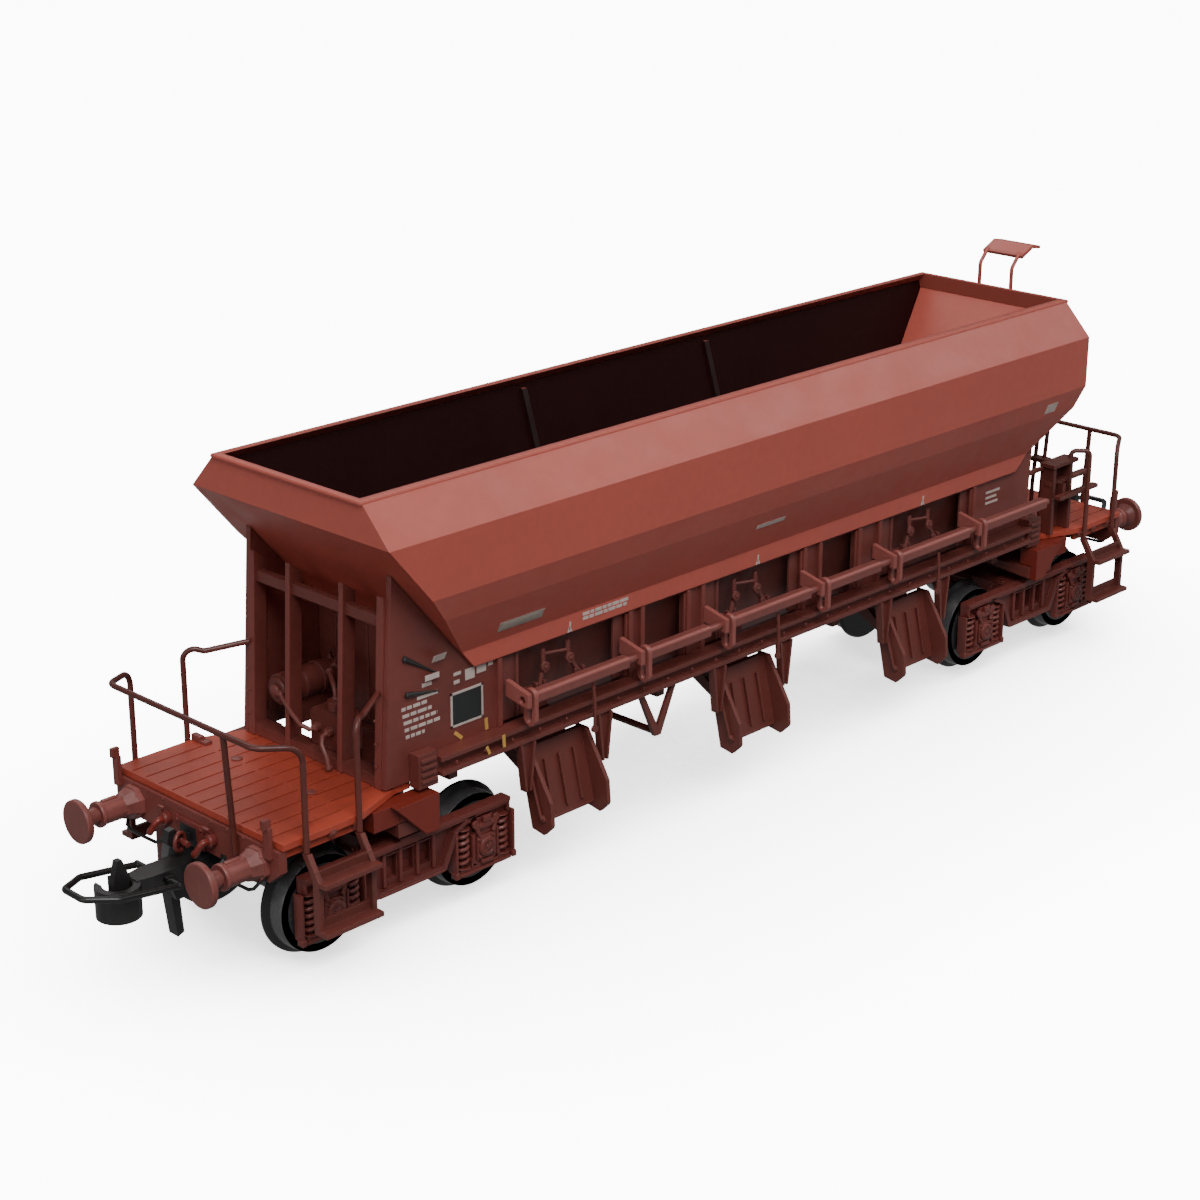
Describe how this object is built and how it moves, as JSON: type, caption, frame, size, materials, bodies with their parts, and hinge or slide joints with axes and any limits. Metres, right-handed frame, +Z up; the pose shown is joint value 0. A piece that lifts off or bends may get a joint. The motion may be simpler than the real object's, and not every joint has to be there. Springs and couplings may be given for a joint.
{
  "type": "model hopper car",
  "caption": "Bogie ballast hopper car model with a flared body in bays, end platforms with handrails, side chutes, sprung bogies, buffers and loop couplers.",
  "frame": {"origin": "middle of the car in plan, at the lowest point of the wheel flanges", "axes": "+X along the car towards the end with the brake stand, +Y across the car, +Z up"},
  "size_m": [0.175, 0.0338, 0.0522],
  "materials": {
    "body_red": "satin oxide red-brown moulded plastic",
    "bogie_red": "matt red-brown moulded plastic",
    "rail_dark": "satin dark brown plastic rod",
    "coupler_black": "satin black moulded plastic",
    "loop_wire": "blackened wire",
    "hose_red": "dark moulded plastic",
    "wheel_black": "blackened, bright at the tread",
    "axle_steel": "dull steel",
    "weight_iron": "plain"
  },
  "bodies": {
    "body": {"hopper_shell": "body_red", "partition_near": "body_red", "partition_far": "body_red", "hopper_liner": "body_red", "slope_sheet_far": "body_red", "rim_step_far": "body_red", "lower_body": "body_red", "ballast_weight": "weight_iron", "side_frame_left": "body_red", "side_frame_right": "body_red", "end_frame_near": "body_red", "end_frame_far": "body_red", "solebars": "body_red", "center_sill": "body_red", "body_bolsters": "body_red", "pivot_screws": "axle_steel", "jacking_pads": "body_red", "headstocks": "body_red", "platform_near": "body_red", "platform_far": "body_red", "end_rails": "rail_dark", "side_rails": "rail_dark", "steps": "body_red", "lamp_irons": "body_red", "brake_stand": "body_red", "discharge_shafts": "body_red", "shaft_levers": "body_red", "shaft_bearings": "body_red", "chutes": "body_red", "chute_hangers": "body_red", "discharge_boxes": "body_red", "brake_rigging": "body_red", "brake_cylinder": "body_red", "control_valve": "body_red", "louvre_boxes": "body_red", "buffer_sleeves": "body_red", "buffer_heads": "body_red", "draw_hooks": "coupler_black", "brake_hoses": "hose_red", "coupler_mounts": "coupler_black"},
    "bogie_near": {"bogie_frame_near": "bogie_red", "axlebox_covers_near": "bogie_red", "coil_springs_near": "bogie_red", "bogie_brakes_near": "bogie_red"},
    "bogie_far": {"bogie_frame_far": "bogie_red", "axlebox_covers_far": "bogie_red", "coil_springs_far": "bogie_red", "bogie_brakes_far": "bogie_red"},
    "wheelset_1": {"axle_1": "axle_steel", "wheels_1": "wheel_black"},
    "wheelset_2": {"axle_2": "axle_steel", "wheels_2": "wheel_black"},
    "wheelset_3": {"axle_3": "axle_steel", "wheels_3": "wheel_black"},
    "wheelset_4": {"axle_4": "axle_steel", "wheels_4": "wheel_black"},
    "coupler_near": {"coupler_near": "coupler_black"},
    "coupler_far": {"coupler_far": "coupler_black"},
    "loop_near": {"coupler_loop_near": "loop_wire"},
    "loop_far": {"coupler_loop_far": "loop_wire"}
  },
  "joints": [
    {"name": "bogie_near_swivel", "type": "hinge", "parent": "body", "child": "bogie_near", "pos_m": [-0.0546, 0, 0.01], "axis": [0, 0, 1], "range_deg": [-10, 10]},
    {"name": "bogie_far_swivel", "type": "hinge", "parent": "body", "child": "bogie_far", "pos_m": [0.0546, 0, 0.01], "axis": [0, 0, 1], "range_deg": [-10, 10]},
    {"name": "wheelset_1_spin", "type": "hinge", "parent": "bogie_near", "child": "wheelset_1", "pos_m": [-0.0649, 0, 0.0059], "axis": [0, 1, 0], "continuous": true},
    {"name": "wheelset_2_spin", "type": "hinge", "parent": "bogie_near", "child": "wheelset_2", "pos_m": [-0.0443, 0, 0.0059], "axis": [0, 1, 0], "continuous": true},
    {"name": "wheelset_3_spin", "type": "hinge", "parent": "bogie_far", "child": "wheelset_3", "pos_m": [0.0443, 0, 0.0059], "axis": [0, 1, 0], "continuous": true},
    {"name": "wheelset_4_spin", "type": "hinge", "parent": "bogie_far", "child": "wheelset_4", "pos_m": [0.0649, 0, 0.0059], "axis": [0, 1, 0], "continuous": true},
    {"name": "coupler_near_swing", "type": "hinge", "parent": "body", "child": "coupler_near", "pos_m": [-0.067, 0, 0.01], "axis": [0, 0, 1], "range_deg": [-15, 15]},
    {"name": "loop_near_lift", "type": "hinge", "parent": "coupler_near", "child": "loop_near", "pos_m": [-0.0773, 0, 0.01], "axis": [0, 1, 0], "range_deg": [0, 25]},
    {"name": "coupler_far_swing", "type": "hinge", "parent": "body", "child": "coupler_far", "pos_m": [0.067, 0, 0.01], "axis": [0, 0, 1], "range_deg": [-15, 15]},
    {"name": "loop_far_lift", "type": "hinge", "parent": "coupler_far", "child": "loop_far", "pos_m": [0.0773, 0, 0.01], "axis": [0, -1, 0], "range_deg": [0, 25]}
  ]
}
